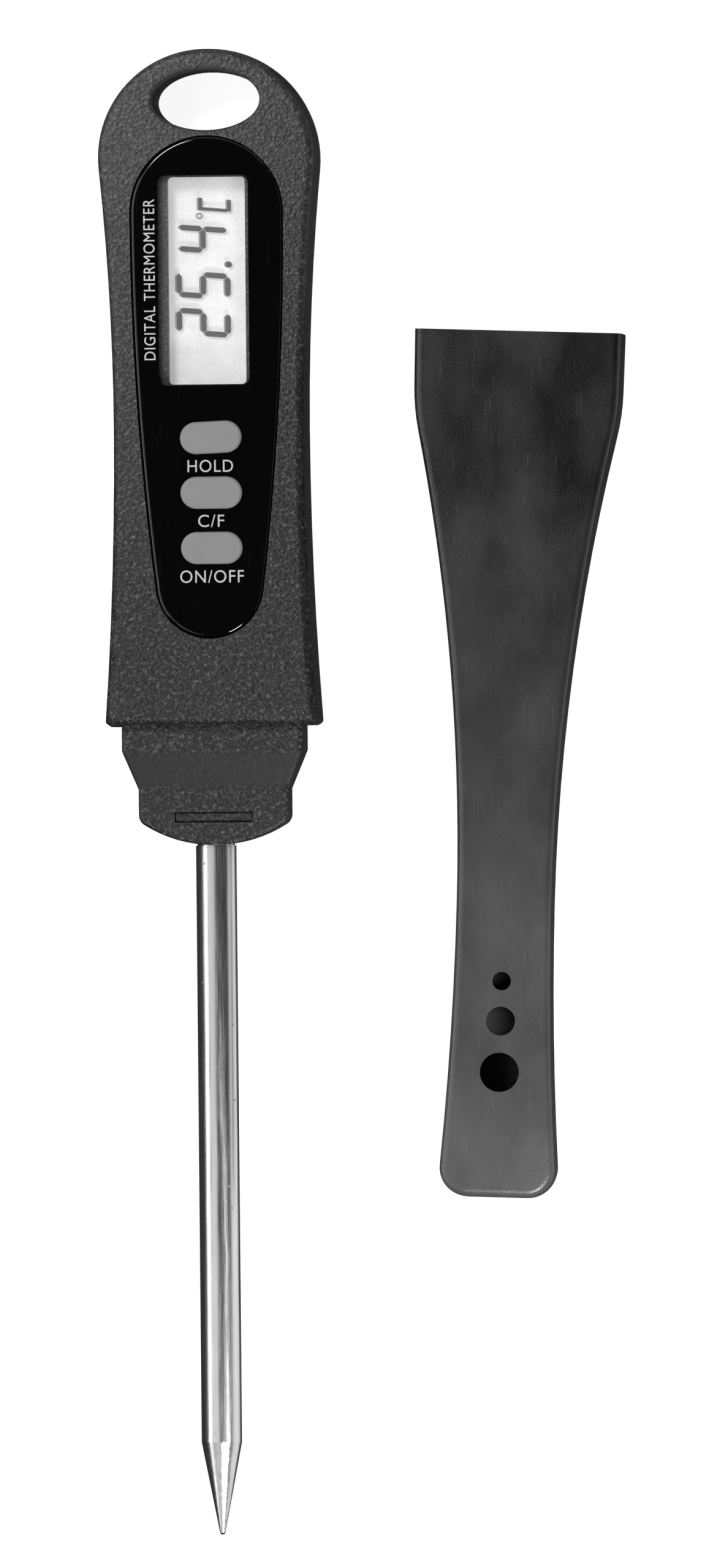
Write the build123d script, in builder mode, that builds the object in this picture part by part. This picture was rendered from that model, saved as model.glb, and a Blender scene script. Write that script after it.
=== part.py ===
from build123d import *

import math
import os

# Digital darkroom thermometer lying on its back, with its protective sheath pulled off beside it.
# Millimetres. The origin is the centre of the handle's flat back, +Y runs along the thermometer
# towards the hanging hole, the probe points to -Y, and +Z comes out of the display.

# ---------------------------------------------------------------- driving dimensions

# handle
HANDLE_LENGTH = 91.0
HANDLE_THICKNESS = 14.0
TOP_RADIUS = 14.6
WAIST_HALF = 12.8
WAIST_HEIGHT = 40.0  # above the shoulder
SHOULDER_HALF = 14.3
SHOULDER_CORNER = 0.8
DRAFT = 2.5  # degrees that the side walls lean in from the parting plane
FRONT_EDGE = 1.1
BACK_EDGE = 2.0
SIDE_WALL = 1.8
BACK_WALL = 1.6
PARTING_Z = 6.6
PARTING_CHAMFER = 0.12

# hanging hole
HOLE_HALF_WIDTH = 7.3
HOLE_HALF_HEIGHT = 4.15
HOLE_HEIGHT = 84.2  # above the shoulder
HOLE_EDGE = 0.5

# neck that the sheath slides over
NECK_LENGTH = 16.35
NECK_UPPER_HALF = 12.25
NECK_LOWER_HALF = 10.15
NECK_UPPER_LENGTH = 3.6
NECK_TAPER_END = 8.8
NECK_SLOPE_START = 4.2
NECK_SLOPE_END = 8.2
NECK_CORNER_HEIGHT = 13.1
NECK_CORNER_RADIUS = 1.6
NECK_UPPER_FRONT = 12.2
NECK_LOWER_FRONT = 10.9
NECK_UPPER_BACK = 1.8
NECK_LOWER_BACK = 2.6
NECK_EDGE = 0.5
NECK_CAVITY_HALF = 9.5
NECK_CAVITY_DEPTH = 5.5  # below the shoulder
NECK_CAVITY_RISE = 3.8  # above the parting plane
NECK_BACK_WALL = 1.6
SNAP_WINDOW_WIDTH = 10.5
SNAP_WINDOW_HEIGHT = 1.4
SNAP_WINDOW_DROP = 12.6  # below the shoulder
SNAP_TONGUE_THICKNESS = 1.1
SNAP_TONGUE_TOP = 10.5
SNAP_TONGUE_ROOT = 2.0  # below the parting plane
SNAP_GAP = 0.15

# glossy display panel
PANEL_TOP_RADIUS = 10.25
PANEL_FLANK_RADIUS = 420.0
PANEL_TOP_HEIGHT = 79.2  # above the shoulder
PANEL_LENGTH = 67.6
PANEL_THICKNESS = 1.6
PANEL_FRONT = 14.1
PANEL_EDGE = 0.45
PANEL_GAP = 0.15

# display stack
WINDOW_WIDTH = 12.2
WINDOW_LENGTH = 28.3
WINDOW_CORNER = 1.0
WINDOW_X = -0.45
WINDOW_HEIGHT = 59.8  # above the shoulder
LENS_LIP = 0.8
LENS_THICKNESS = 0.8
LENS_GAP = 0.05
LENS_CORNER = 0.4
TRAY_FLOOR = 1.2
GASKET_THICKNESS = 0.3
LCD_WIDTH = 13.4
LCD_LENGTH = 30.6
LCD_THICKNESS = 1.1
REFLECTOR_THICKNESS = 0.15
REFLECTOR_LIP = 0.15
VIEW_X = -0.1
VIEW_WIDTH = 10.45
VIEW_LENGTH = 28.0
VIEW_CORNER = 0.6
ZEBRA_SIDE = 6.2
ZEBRA_WIDTH = 0.8

# keys
KEY_WIDTH = 8.35
KEY_HEIGHT = 4.35
KEY_GAP = 0.2
KEY_X = 0.35
KEY_HEIGHTS = {"hold": 38.6, "unit": 31.15, "power": 23.7}  # above the shoulder
KEY_PROUD = 0.5
KEY_TRAVEL = 0.5
KEY_FLANGE = 0.7
KEY_FLANGE_THICKNESS = 0.8
KEY_EDGE = 0.4
HOLD_KEY_TILT = 2.5
SHEET_WIDTH = 11.4
SHEET_LENGTH = 21.0
SHEET_THICKNESS = 0.6
SHEET_HOLE = 2.2
PILL_RADIUS = 1.6

# circuit board
BOARD_TOP = 8.8
BOARD_THICKNESS = 0.8
BOARD_INSET = 2.4
BOARD_LOW = 8.0  # above the shoulder
BOARD_HIGH = 76.5
SCREW_PLACES = [(8.1, 42.6), (-8.1, 42.6), (6.2, 14.0), (-6.2, 14.0)]  # x, height above the shoulder
SCREW_RADIUS = 0.7
SCREW_LENGTH = 2.8
SCREW_HOLE_DEPTH = 2.4
SCREW_HEAD_RADIUS = 1.35
SCREW_HEAD_HEIGHT = 0.8
RECESS_LENGTH = 1.7
RECESS_WIDTH = 0.4
BOSS_RADIUS = 1.5
CHIP_HEIGHT = 33.0  # above the shoulder
CHIP_RADIUS = 3.2
CHIP_THICKNESS = 1.0

# battery
CELL_RADIUS = 5.8
CELL_THICKNESS = 5.4
CELL_BOTTOM = 2.2
CELL_EDGE = 0.35
CELL_CAP_RADIUS = 4.9
CONTACT_HALF_WIDTH = 1.5
CONTACT_GAP = 0.05
STRIP = 0.25  # thickness of the positive contact
SPRING = 0.2  # thickness of the negative contact
BATTERY_HEIGHT = 61.5  # above the shoulder
BORE_RADIUS = 6.0
BATTERY_BOSS_RADIUS = 11.0
BATTERY_BOSS_TOP = 7.0
CONTACT_KEYWAY = 3.4
DOOR_RADIUS = 8.0
DOOR_GAP = 0.2
DOOR_BOTTOM = 0.2
DOOR_TOP = 1.7
LUG_RADIUS = 9.4
LUG_ANGLE = 36.0
LUG_BOTTOM = 1.9
LUG_THICKNESS = 1.2
LUG_CHAMBER = 1.8
NOTCH_PLAY = 4.0  # degrees
DOOR_TURN = 60.0
DOOR_CHAMFER = 0.2
DOOR_RIM_OUTER = 7.6
DOOR_RIM_INNER = 6.3
DOOR_RIM_HEIGHT = 0.9
DOOR_PAD_RADIUS = 3.0
COIN_SLOT_LENGTH = 10.5
COIN_SLOT_WIDTH = 1.7
COIN_SLOT_DEPTH = 0.8
SEAL_SECTION = 0.4
SEAL_Z = 1.1
SEAL_INSET = 0.25

# probe
PROBE_RADIUS = 2.75
PROBE_WALL = 0.4
PROBE_EXPOSED = 93.3
PROBE_INNER_END = 2.0  # above the shoulder
CONE_LENGTH = 12.6
TIP_RADIUS = 0.4
TIP_ARC = 76.0
TIP_BORE_RADIUS = 0.75
TIP_SOLID = 4.6
PROBE_BORE_GAP = 0.05
PROBE_STEP = 0.2  # the stretch held in the neck is ground down by this much
PROBE_STEP_OUT = 0.1  # and the step shows by this much below the neck
COLLAR_RADIUS = 3.3
COLLAR_LENGTH = 3.0
BEAD_HEIGHT = 6.0  # above the tip
BEAD_RADIUS = 0.78
FILLING_RISE = 3.0  # above the cone
PLUG_LENGTH = 5.0
LEAD_RADIUS = 0.25
LEAD_SPACING = 0.5
LEAD_BEND = 4.0
LEAD_RUN = (5.0, 9.0, 13.0)  # above the shoulder: leaves the axis, reaches the board, ends
LEAD_GAP = 0.02

# sheath
SHEATH_LENGTH = 116.9
SHEATH_MOUTH_HALF = 14.2
SHEATH_NECK_HALF = 14.05
SHEATH_BEND = 10.85  # from the mouth, where the straight sides give way to the taper
SHEATH_BEND_RADIUS = 30.0
SHEATH_WAIST_HALF = 6.58
SHEATH_WAIST = 77.0  # from the mouth
SHEATH_END_HALF = 8.3
SHEATH_END_CORNER = 4.0
SHEATH_MOUTH_THICKNESS = 14.0
SHEATH_END_THICKNESS = 12.0
SHEATH_SLOPE_START = 6.0
SHEATH_SLOPE_END = 50.0
SHEATH_WALL = 1.5
SHEATH_END_WALL = 2.0
SHEATH_EDGE = 1.0
SHEATH_OVERRUN = 3.0
SHEATH_MOUTH_X = 41.9
SHEATH_MOUTH_Y = 7.0
SHEATH_LEAN = 2.05
VENTS = [(87.6, 1.25), (93.0, 1.95), (99.9, 2.65)]  # distance from the mouth, radius

# ---------------------------------------------------------------- derived places

# how far the walls lean out between the front face and the parting plane
FLARE = (HANDLE_THICKNESS - PARTING_Z) * math.tan(math.radians(DRAFT))
SHOULDER_Y = -HANDLE_LENGTH / 2
TOP_Y = HANDLE_LENGTH / 2
NECK_END_Y = SHOULDER_Y - NECK_LENGTH
TIP_Y = NECK_END_Y - PROBE_EXPOSED
WAIST_Y = SHOULDER_Y + WAIST_HEIGHT
HOLE_Y = SHOULDER_Y + HOLE_HEIGHT
WINDOW_Y = SHOULDER_Y + WINDOW_HEIGHT
BATTERY_Y = SHOULDER_Y + BATTERY_HEIGHT
SNAP_Y = SHOULDER_Y - SNAP_WINDOW_DROP
PANEL_BACK = PANEL_FRONT - PANEL_THICKNESS
CEILING_Z = PANEL_BACK - TRAY_FLOOR
LCD_TOP = CEILING_Z - GASKET_THICKNESS
LCD_BACK = LCD_TOP - LCD_THICKNESS
BOARD_BACK = BOARD_TOP - BOARD_THICKNESS
KEY_FLANGE_TOP = CEILING_Z - 0.3
KEY_FLANGE_BACK = KEY_FLANGE_TOP - KEY_FLANGE_THICKNESS
PILL_BACK = BOARD_TOP + KEY_TRAVEL + 0.1
CAVITY_TOP_Y = HOLE_Y - HOLE_HALF_HEIGHT - SIDE_WALL
NECK_CAVITY_END_Y = SHOULDER_Y - NECK_CAVITY_DEPTH
CELL_TOP = CELL_BOTTOM + CELL_THICKNESS
PROBE_HELD_RADIUS = PROBE_RADIUS - PROBE_STEP
PROBE_BORE = PROBE_HELD_RADIUS + PROBE_BORE_GAP
CONE_Y = TIP_Y + CONE_LENGTH
INNER_RADIUS = PROBE_RADIUS - PROBE_WALL
INNER_TIP_Y = TIP_Y + TIP_SOLID
BEAD_Y = TIP_Y + BEAD_HEIGHT
LEAD_TOP_Z = BOARD_BACK - LEAD_RADIUS - LEAD_GAP
SCREW_POINTS = [(x, SHOULDER_Y + height) for x, height in SCREW_PLACES]
FAR = 40.0


def handle_outline(inset=0.0, corner=0.0):
    """Plan face of the handle: round top, concave flanks tangent to it, straight shoulder."""
    drop = TOP_Y - TOP_RADIUS - WAIST_Y
    upper_radius = (WAIST_HALF**2 + drop**2 - TOP_RADIUS**2) / (2 * (TOP_RADIUS - WAIST_HALF))
    lean = math.atan2(drop, WAIST_HALF + upper_radius)
    radius = TOP_RADIUS - inset
    joint = (radius * math.cos(lean), TOP_Y - TOP_RADIUS - radius * math.sin(lean))
    flare = SHOULDER_HALF - WAIST_HALF
    lower_radius = (WAIST_HEIGHT**2 + flare**2) / (2 * flare)
    rise = WAIST_HEIGHT - inset
    foot_x = WAIST_HALF + lower_radius - math.sqrt((lower_radius + inset) ** 2 - rise**2)
    foot = (foot_x, SHOULDER_Y + inset)
    waist = (WAIST_HALF - inset, WAIST_Y)
    with BuildSketch() as outline:
        with BuildLine():
            TangentArc(waist, joint, tangent=(0, 1))
            TangentArc(waist, foot, tangent=(0, -1))
            Line(foot, (0, foot[1]))
            mirror(about=Plane.YZ)
            ThreePointArc(joint, (0, TOP_Y - inset), (-joint[0], joint[1]))
        make_face()
        if corner:
            fillet([v for v in outline.vertices().group_by(Axis.Y)[0] if abs(v.X) > 1], corner)
    return outline.sketch


def panel_outline(grow=0.0):
    """Plan face of the display panel: two circles joined by long convex flanks tangent to both."""
    span = PANEL_LENGTH - PANEL_TOP_RADIUS
    flank = PANEL_FLANK_RADIUS
    low_radius = (flank**2 - (flank - PANEL_TOP_RADIUS) ** 2 - span**2) / (2 * (flank - span))
    centre_y = SHOULDER_Y + PANEL_TOP_HEIGHT - PANEL_TOP_RADIUS
    low_y = SHOULDER_Y + PANEL_TOP_HEIGHT - PANEL_LENGTH + low_radius
    lean = math.atan2(centre_y - low_y, flank - PANEL_TOP_RADIUS)
    wide = (PANEL_TOP_RADIUS + grow, centre_y)
    radius = low_radius + grow
    joint = (radius * math.cos(lean), low_y - radius * math.sin(lean))
    with BuildSketch() as outline:
        with BuildLine():
            TangentArc(wide, joint, tangent=(0, -1))
            mirror(about=Plane.YZ)
            ThreePointArc(wide, (0, centre_y + PANEL_TOP_RADIUS + grow), (-wide[0], wide[1]))
            ThreePointArc(joint, (0, low_y - radius), (-joint[0], joint[1]))
        make_face()
    return outline.sketch


def neck_outline():
    """Plan face of the neck, reaching a little into the handle."""
    end_y = NECK_END_Y
    corner_y = SHOULDER_Y - NECK_CORNER_HEIGHT
    with BuildSketch() as outline:
        with BuildLine():
            Polyline(
                (0, SHOULDER_Y + SIDE_WALL),
                (NECK_UPPER_HALF, SHOULDER_Y + SIDE_WALL),
                (NECK_UPPER_HALF, SHOULDER_Y - NECK_UPPER_LENGTH),
                (NECK_LOWER_HALF, SHOULDER_Y - NECK_TAPER_END),
                (NECK_LOWER_HALF, corner_y),
            )
            mirror(about=Plane.YZ)
            ThreePointArc((NECK_LOWER_HALF, corner_y), (0, end_y), (-NECK_LOWER_HALF, corner_y))
        make_face()
        low_corners = outline.vertices().filter_by_position(Axis.Y, corner_y - 0.1, corner_y + 0.1)
        fillet(low_corners, NECK_CORNER_RADIUS)
    return outline.sketch


def neck_half(upper_z, lower_z):
    """One half of the neck, from the parting plane to a face that steps in along a slope."""
    with BuildPart() as half:
        with BuildSketch(Plane.XY.offset(PARTING_Z)):
            add(neck_outline())
        extrude(amount=upper_z - PARTING_Z)
        with BuildSketch(Plane.YZ):
            with BuildLine():
                Polyline(
                    (SHOULDER_Y + 3, PARTING_Z),
                    (SHOULDER_Y + 3, upper_z),
                    (SHOULDER_Y - NECK_SLOPE_START, upper_z),
                    (SHOULDER_Y - NECK_SLOPE_END, lower_z),
                    (NECK_END_Y - 1, lower_z),
                    (NECK_END_Y - 1, PARTING_Z),
                    close=True,
                )
            make_face()
        extrude(amount=FAR, both=True, mode=Mode.INTERSECT)
        outer = [
            e
            for e in half.edges()
            if abs(e.center().Z - PARTING_Z) > 1.0
            and abs((e % 0.5).Z) < 0.9
            and e.center().Y < SHOULDER_Y
            and abs(e.center().X) > 0.5 * NECK_LOWER_HALF
        ]
        end_edges = [e for e in half.edges() if e.center().Y < NECK_END_Y + 1.5]
        rim = [e for e in end_edges if abs(e.center().Z - lower_z) < 0.01]
        fillet(ShapeList(outer + rim), NECK_EDGE)
    return half.part


def stadium(grow=0.0):
    """Rounded key outline."""
    with BuildSketch() as outline:
        SlotOverall(KEY_WIDTH + 2 * grow, KEY_HEIGHT + 2 * grow)
    return outline.sketch


def key_place(name, z=0.0):
    """Plane of one key, square to the handle except for the slightly turned hold key."""
    turn = HOLD_KEY_TILT if name == "hold" else 0.0
    place = Plane((KEY_X, SHOULDER_Y + KEY_HEIGHTS[name], z))
    return place.rotated((0, 0, turn))


def battery_plane(z):
    """Plan plane centred on the battery."""
    return Plane((0, BATTERY_Y, z))


def lug_sector(radius, middle, angle):
    """Pie slice about the battery's centre, facing the given angle."""
    with BuildSketch() as sector:
        with BuildLine():
            rim = CenterArc((0, 0), radius, middle - angle / 2, angle)
            Line((0, 0), rim @ 0)
            Line((0, 0), rim @ 1)
        make_face()
    return sector.sketch


# ---------------------------------------------------------------- housings

front_neck = neck_half(NECK_UPPER_FRONT, NECK_LOWER_FRONT)
back_neck = neck_half(NECK_UPPER_BACK, NECK_LOWER_BACK)

with BuildPart() as front_housing:
    with BuildSketch(Plane.XY.offset(PARTING_Z)):
        add(handle_outline(-FLARE, SHOULDER_CORNER))
    extrude(amount=HANDLE_THICKNESS - PARTING_Z, taper=DRAFT)
    fillet(front_housing.edges().group_by(Axis.Z)[-1], FRONT_EDGE)
    chamfer(front_housing.edges().group_by(Axis.Z)[0], PARTING_CHAMFER)
    add(front_neck)
    # hanging hole with a rounded rim
    with BuildSketch(Plane.XY.offset(PARTING_Z)):
        with Locations((0, HOLE_Y)):
            Ellipse(HOLE_HALF_WIDTH, HOLE_HALF_HEIGHT)
    extrude(amount=FAR, mode=Mode.SUBTRACT)
    front_edges = front_housing.edges().group_by(Axis.Z)[-1]
    fillet(front_edges.filter_by_position(Axis.Y, HOLE_Y - 1, HOLE_Y + 1), HOLE_EDGE)
    # hollow behind the front face, open into the neck
    with BuildSketch(Plane.XY.offset(PARTING_Z)):
        add(handle_outline(SIDE_WALL))
        with Locations((0, CAVITY_TOP_Y)):
            Rectangle(FAR, FAR, align=(Align.CENTER, Align.MIN), mode=Mode.SUBTRACT)
    extrude(amount=CEILING_Z - PARTING_Z, mode=Mode.SUBTRACT)
    with BuildSketch(Plane.XY.offset(PARTING_Z)):
        with Locations((0, NECK_CAVITY_END_Y)):
            Rectangle(2 * NECK_CAVITY_HALF, 2 * NECK_CAVITY_DEPTH, align=(Align.CENTER, Align.MIN))
    extrude(amount=NECK_CAVITY_RISE, mode=Mode.SUBTRACT)
    # pocket for the display panel
    with BuildSketch(Plane.XY.offset(PANEL_BACK)):
        add(panel_outline(PANEL_GAP))
    extrude(amount=FAR, mode=Mode.SUBTRACT)
    # view of the display through the panel's tray
    with BuildSketch(Plane.XY.offset(CEILING_Z)):
        with Locations((VIEW_X, WINDOW_Y)):
            RectangleRounded(VIEW_WIDTH, VIEW_LENGTH, VIEW_CORNER)
    extrude(amount=TRAY_FLOOR, mode=Mode.SUBTRACT)
    for key in KEY_HEIGHTS:
        with BuildSketch(key_place(key, CEILING_Z)):
            add(stadium(KEY_GAP))
        extrude(amount=TRAY_FLOOR, mode=Mode.SUBTRACT)
    # bosses for the board screws
    with BuildSketch(Plane.XY.offset(BOARD_TOP)):
        with Locations(SCREW_POINTS):
            Circle(BOSS_RADIUS)
    extrude(amount=CEILING_Z - BOARD_TOP)
    with BuildSketch(Plane.XY.offset(BOARD_TOP)):
        with Locations(SCREW_POINTS):
            Circle(SCREW_RADIUS + 0.05)
    extrude(amount=SCREW_HOLE_DEPTH, mode=Mode.SUBTRACT)
    # window that the back housing's snap tongue reaches into
    with BuildSketch(Plane.XY.offset(PARTING_Z)):
        with Locations((0, SNAP_Y)):
            Rectangle(SNAP_WINDOW_WIDTH, SNAP_WINDOW_HEIGHT)
    extrude(amount=FAR, mode=Mode.SUBTRACT)
    # probe bore and collar pocket
    with BuildSketch(Plane.XZ.offset(-SHOULDER_Y)):
        with Locations((0, PARTING_Z)):
            Circle(PROBE_BORE)
    extrude(amount=NECK_LENGTH + 1, mode=Mode.SUBTRACT)
    with BuildSketch(Plane.XZ.offset(-NECK_CAVITY_END_Y)):
        with Locations((0, PARTING_Z)):
            Circle(COLLAR_RADIUS + PROBE_BORE_GAP)
    extrude(amount=COLLAR_LENGTH, mode=Mode.SUBTRACT)

with BuildPart() as back_housing:
    with BuildSketch(Plane.XY.offset(PARTING_Z)):
        add(handle_outline(-FLARE, SHOULDER_CORNER))
    extrude(amount=-PARTING_Z, taper=DRAFT)
    fillet(back_housing.edges().group_by(Axis.Z)[0], BACK_EDGE)
    chamfer(back_housing.edges().group_by(Axis.Z)[-1], PARTING_CHAMFER)
    add(back_neck)
    with BuildSketch():
        with Locations((0, HOLE_Y)):
            Ellipse(HOLE_HALF_WIDTH, HOLE_HALF_HEIGHT)
    extrude(amount=PARTING_Z, mode=Mode.SUBTRACT)
    back_edges = back_housing.edges().group_by(Axis.Z)[0]
    fillet(back_edges.filter_by_position(Axis.Y, HOLE_Y - 1, HOLE_Y + 1), HOLE_EDGE)
    with BuildSketch(Plane.XY.offset(BACK_WALL)):
        add(handle_outline(SIDE_WALL))
        with Locations((0, CAVITY_TOP_Y)):
            Rectangle(FAR, FAR, align=(Align.CENTER, Align.MIN), mode=Mode.SUBTRACT)
    extrude(amount=PARTING_Z - BACK_WALL, mode=Mode.SUBTRACT)
    with BuildSketch(Plane.XY.offset(PARTING_Z)):
        with Locations((0, NECK_CAVITY_END_Y)):
            Rectangle(2 * NECK_CAVITY_HALF, 2 * NECK_CAVITY_DEPTH, align=(Align.CENTER, Align.MIN))
    extrude(amount=NECK_UPPER_BACK + NECK_BACK_WALL - PARTING_Z, mode=Mode.SUBTRACT)
    # battery boss: cell bore above, bayonet chamber below
    with BuildSketch(Plane.XY.offset(BACK_WALL)):
        with Locations((0, BATTERY_Y)):
            Circle(BATTERY_BOSS_RADIUS)
    extrude(amount=BATTERY_BOSS_TOP - BACK_WALL)
    with BuildSketch():
        with Locations((0, BATTERY_Y)):
            Circle(DOOR_RADIUS + DOOR_GAP)
    extrude(amount=BACK_WALL, mode=Mode.SUBTRACT)
    with BuildSketch(Plane.XY.offset(BACK_WALL)):
        with Locations((0, BATTERY_Y)):
            Circle(LUG_RADIUS + DOOR_GAP)
    extrude(amount=LUG_CHAMBER, mode=Mode.SUBTRACT)
    with BuildSketch(Plane.XY.offset(BACK_WALL)):
        with Locations((0, BATTERY_Y)):
            Circle(BORE_RADIUS)
        with Locations((0, BATTERY_Y + BORE_RADIUS)):
            Rectangle(CONTACT_KEYWAY, 1.0)
    extrude(amount=FAR, mode=Mode.SUBTRACT)
    # entry notches for the door's lugs, a turn away from where they lock
    with BuildSketch(battery_plane(0)):
        for side in (0, 180):
            add(lug_sector(LUG_RADIUS + DOOR_GAP, side - DOOR_TURN, LUG_ANGLE + NOTCH_PLAY))
    extrude(amount=BACK_WALL, mode=Mode.SUBTRACT)
    # snap tongue, an arch over the probe
    with BuildSketch(Plane.XY.offset(PARTING_Z - SNAP_TONGUE_ROOT)):
        with Locations((0, SNAP_Y)):
            Rectangle(SNAP_WINDOW_WIDTH - 2 * SNAP_GAP, SNAP_TONGUE_THICKNESS)
    extrude(amount=SNAP_TONGUE_TOP - PARTING_Z + SNAP_TONGUE_ROOT)
    with BuildSketch(Plane.XZ.offset(-SHOULDER_Y)):
        with Locations((0, PARTING_Z)):
            Circle(PROBE_BORE)
    extrude(amount=NECK_LENGTH + 1, mode=Mode.SUBTRACT)
    with BuildSketch(Plane.XZ.offset(-NECK_CAVITY_END_Y)):
        with Locations((0, PARTING_Z)):
            Circle(COLLAR_RADIUS + PROBE_BORE_GAP)
    extrude(amount=COLLAR_LENGTH, mode=Mode.SUBTRACT)

# ---------------------------------------------------------------- display

with BuildPart() as display_panel:
    with BuildSketch(Plane.XY.offset(PANEL_BACK)):
        add(panel_outline())
    extrude(amount=PANEL_THICKNESS)
    fillet(display_panel.edges().group_by(Axis.Z)[-1], PANEL_EDGE)
    with BuildSketch(Plane.XY.offset(PANEL_BACK)):
        with Locations((WINDOW_X, WINDOW_Y)):
            RectangleRounded(WINDOW_WIDTH, WINDOW_LENGTH, WINDOW_CORNER)
    extrude(amount=PANEL_THICKNESS, mode=Mode.SUBTRACT)
    with BuildSketch(Plane.XY.offset(PANEL_BACK)):
        with Locations((WINDOW_X, WINDOW_Y)):
            lip = LENS_LIP + LENS_GAP
            Rectangle(WINDOW_WIDTH + 2 * lip, WINDOW_LENGTH + 2 * lip)
    extrude(amount=LENS_THICKNESS, mode=Mode.SUBTRACT)
    for key in KEY_HEIGHTS:
        with BuildSketch(key_place(key, PANEL_BACK)):
            add(stadium(KEY_GAP))
        extrude(amount=PANEL_THICKNESS, mode=Mode.SUBTRACT)

with BuildPart() as display_window:
    with BuildSketch(Plane.XY.offset(PANEL_BACK)):
        with Locations((WINDOW_X, WINDOW_Y)):
            RectangleRounded(WINDOW_WIDTH + 2 * LENS_LIP, WINDOW_LENGTH + 2 * LENS_LIP, LENS_CORNER)
    extrude(amount=LENS_THICKNESS)

with BuildPart() as display_gasket:
    with BuildSketch(Plane.XY.offset(LCD_TOP)):
        with Locations((WINDOW_X, WINDOW_Y)):
            Rectangle(LCD_WIDTH, LCD_LENGTH)
        with Locations((VIEW_X, WINDOW_Y)):
            RectangleRounded(VIEW_WIDTH, VIEW_LENGTH, VIEW_CORNER, mode=Mode.SUBTRACT)
    extrude(amount=GASKET_THICKNESS)

with BuildPart() as lcd_glass:
    with BuildSketch(Plane.XY.offset(LCD_BACK)):
        with Locations((WINDOW_X, WINDOW_Y)):
            Rectangle(LCD_WIDTH, LCD_LENGTH)
    extrude(amount=LCD_THICKNESS)

with BuildPart() as lcd_reflector:
    with BuildSketch(Plane.XY.offset(LCD_BACK - REFLECTOR_THICKNESS)):
        with Locations((VIEW_X, WINDOW_Y)):
            Rectangle(VIEW_WIDTH + 2 * REFLECTOR_LIP, VIEW_LENGTH + 2 * REFLECTOR_LIP)
    extrude(amount=REFLECTOR_THICKNESS)

with BuildPart() as zebra_strips:
    with BuildSketch(Plane.XY.offset(BOARD_TOP)):
        with Locations((WINDOW_X - ZEBRA_SIDE, WINDOW_Y), (WINDOW_X + ZEBRA_SIDE, WINDOW_Y)):
            Rectangle(ZEBRA_WIDTH, WINDOW_LENGTH)
    extrude(amount=LCD_BACK - BOARD_TOP)

# ---------------------------------------------------------------- circuit board

HANGING = (Align.CENTER, Align.CENTER, Align.MAX)

with BuildPart() as circuit_board:
    with BuildSketch(Plane.XY.offset(BOARD_BACK)):
        add(handle_outline(BOARD_INSET))
        with Locations((0, SHOULDER_Y + BOARD_HIGH)):
            Rectangle(FAR, FAR, align=(Align.CENTER, Align.MIN), mode=Mode.SUBTRACT)
        with Locations((0, SHOULDER_Y + BOARD_LOW)):
            Rectangle(FAR, FAR, align=(Align.CENTER, Align.MAX), mode=Mode.SUBTRACT)
        with Locations(SCREW_POINTS):
            Circle(SCREW_RADIUS + 0.1, mode=Mode.SUBTRACT)
    extrude(amount=BOARD_THICKNESS)

with BuildPart() as board_screws:
    with Locations([(x, y, BOARD_BACK) for x, y in SCREW_POINTS]):
        Cylinder(SCREW_HEAD_RADIUS, SCREW_HEAD_HEIGHT, align=HANGING)
        Cylinder(SCREW_RADIUS, SCREW_LENGTH, align=(Align.CENTER, Align.CENTER, Align.MIN))
    with BuildSketch(Plane.XY.offset(BOARD_BACK - SCREW_HEAD_HEIGHT)):
        with Locations(SCREW_POINTS):
            Rectangle(RECESS_LENGTH, RECESS_WIDTH)
            Rectangle(RECESS_WIDTH, RECESS_LENGTH)
    extrude(amount=SCREW_HEAD_HEIGHT / 2, mode=Mode.SUBTRACT)

with BuildPart() as controller_chip:
    with Locations((0, SHOULDER_Y + CHIP_HEIGHT, BOARD_BACK)):
        Cylinder(CHIP_RADIUS, CHIP_THICKNESS, align=HANGING)
    fillet(controller_chip.edges().group_by(Axis.Z)[0], 0.8 * CHIP_THICKNESS)

# chip size (x, y, z) and the places of its kind: x, height above the shoulder
COMPONENTS = {
    (2.0, 1.25, 0.6): [(-4.5, 24.0), (4.5, 24.0)],
    (1.0, 2.0, 0.5): [(-5.0, 20.0), (-2.5, 20.0), (2.5, 20.0), (5.0, 20.0)],
    (2.0, 6.0, 1.9): [(6.3, CHIP_HEIGHT)],
}

with BuildPart() as board_components:
    for size, places in COMPONENTS.items():
        with Locations([(x, SHOULDER_Y + height, BOARD_BACK) for x, height in places]):
            Box(*size, align=HANGING)

# ---------------------------------------------------------------- keys

with BuildPart() as keypad_sheet:
    with BuildSketch(Plane.XY.offset(BOARD_TOP)):
        with Locations((KEY_X, SHOULDER_Y + KEY_HEIGHTS["unit"])):
            RectangleRounded(SHEET_WIDTH, SHEET_LENGTH, 1.5)
        for height in KEY_HEIGHTS.values():
            with Locations((KEY_X, SHOULDER_Y + height)):
                Circle(SHEET_HOLE, mode=Mode.SUBTRACT)
    extrude(amount=SHEET_THICKNESS)


def make_key(name):
    """One rubber key with the flange that holds it in behind the front housing."""
    with BuildPart() as key:
        with BuildSketch(key_place(name, KEY_FLANGE_BACK)):
            add(stadium())
        extrude(amount=PANEL_FRONT + KEY_PROUD - KEY_FLANGE_BACK)
        fillet(key.edges().group_by(Axis.Z)[-1], KEY_EDGE)
        with BuildSketch(key_place(name, KEY_FLANGE_BACK)):
            add(stadium(KEY_FLANGE))
        extrude(amount=KEY_FLANGE_TOP - KEY_FLANGE_BACK)
    return key.part


def make_pill(name):
    """Carbon contact under one key."""
    with BuildPart() as pill:
        with BuildSketch(Plane((KEY_X, SHOULDER_Y + KEY_HEIGHTS[name], PILL_BACK))):
            Circle(PILL_RADIUS)
        extrude(amount=KEY_FLANGE_BACK - PILL_BACK)
    return pill.part


# ---------------------------------------------------------------- battery

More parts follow.
